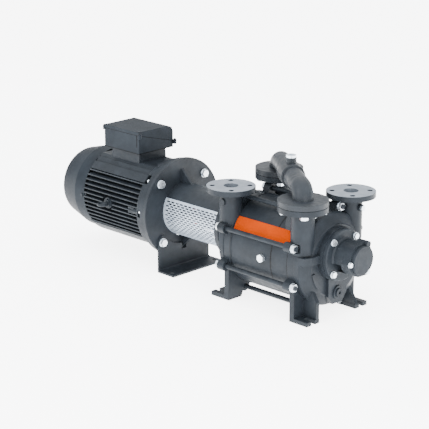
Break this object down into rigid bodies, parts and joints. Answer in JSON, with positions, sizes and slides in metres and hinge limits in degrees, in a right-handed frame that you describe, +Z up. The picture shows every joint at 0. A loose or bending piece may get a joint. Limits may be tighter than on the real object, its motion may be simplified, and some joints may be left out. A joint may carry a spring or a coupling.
{
  "type": "liquid ring vacuum pump",
  "caption": "Two-stage liquid ring vacuum pump in line with a flanged electric motor, with tie-rod bodies, flanged ports, interstage pipe and feet.",
  "frame": {"origin": "middle of the machine in plan, at the height of the underside of the feet", "axes": "+X along the shaft from the motor to the free end of the pump, +Z up, +Y towards the side of the discharge flange"},
  "size_m": [1.3581, 0.4, 0.5055],
  "materials": {
    "dark_paint": "semi gloss machine paint",
    "zinc_steel": "bright zinc plated",
    "perforated_sheet": "bright sheet",
    "coloured_plate": "satin paint",
    "turned_steel": "turned",
    "bronze": "cast, machined on the edges",
    "grey_iron": "machined",
    "bearing_steel": "ground",
    "seal_ceramic": "lapped",
    "fibre": "pressed fibre sheet",
    "elastomer": "moulded",
    "laminations": "stacked sheet",
    "copper_winding": "enamelled wire",
    "cast_aluminium": "die cast",
    "black_plastic": "moulded"
  },
  "bodies": {
    "machine": {"drive_end_casing": "dark_paint", "stage1_body": "dark_paint", "stage2_body": "dark_paint", "free_end_casing": "dark_paint", "tie_rods": "dark_paint", "tie_rod_nuts": "zinc_steel", "body_plug": "zinc_steel", "gauge_plug": "zinc_steel", "drain_plug": "dark_paint", "drive_end_port_plate": "grey_iron", "middle_plate": "grey_iron", "free_end_port_plate": "grey_iron", "bearing_housing": "dark_paint", "bearing_cap": "dark_paint", "housing_bolts": "zinc_steel", "cap_bolts": "zinc_steel", "bearing_cover": "dark_paint", "bearing_outers": "bearing_steel", "seal_seats": "seal_ceramic", "interstage_manifold": "dark_paint", "manifold_plug": "zinc_steel", "manifold_gaskets": "fibre", "manifold_bolts": "zinc_steel", "lantern": "dark_paint", "guard_front": "perforated_sheet", "guard_back": "perforated_sheet", "guard_screws": "zinc_steel", "lantern_bolts": "zinc_steel", "motor_bolts": "zinc_steel", "motor_bolt_nuts": "zinc_steel", "foot_bracket": "dark_paint", "flange_shield": "dark_paint", "shield_bolts": "dark_paint", "motor_frame": "dark_paint", "rear_shield": "dark_paint", "drive_bearing_bracket": "dark_paint", "stator_core": "laminations", "stator_windings": "copper_winding", "fan_cowl": "dark_paint", "cowl_screws": "dark_paint", "lifting_eye": "dark_paint", "terminal_box": "dark_paint", "terminal_box_lid": "dark_paint", "lid_screws": "dark_paint", "gland_plug": "dark_paint", "terminal_block": "black_plastic", "side_plate": "coloured_plate"},
    "motor_rotor": {"motor_shaft": "turned_steel", "rotor_core": "cast_aluminium", "motor_bearing_inners": "bearing_steel", "cooling_fan": "black_plastic", "motor_coupling_half": "grey_iron"},
    "pump_rotor": {"pump_shaft": "turned_steel", "stage1_impeller": "bronze", "stage2_impeller": "bronze", "pump_bearing_inners": "bearing_steel", "seal_rings": "turned_steel", "shaft_nut": "turned_steel", "pump_coupling_half": "grey_iron", "coupling_spider": "elastomer"}
  },
  "joints": [
    {"name": "motor_spin", "type": "hinge", "parent": "machine", "child": "motor_rotor", "pos_m": [-0.109, 0, 0.215], "axis": [1, 0, 0], "continuous": true},
    {"name": "pump_spin", "type": "hinge", "parent": "machine", "child": "pump_rotor", "pos_m": [0.36, 0, 0.215], "axis": [1, 0, 0], "continuous": true}
  ],
  "couplings": [
    {"joint": "pump_spin", "follows": "motor_spin", "ratio": 1}
  ]
}
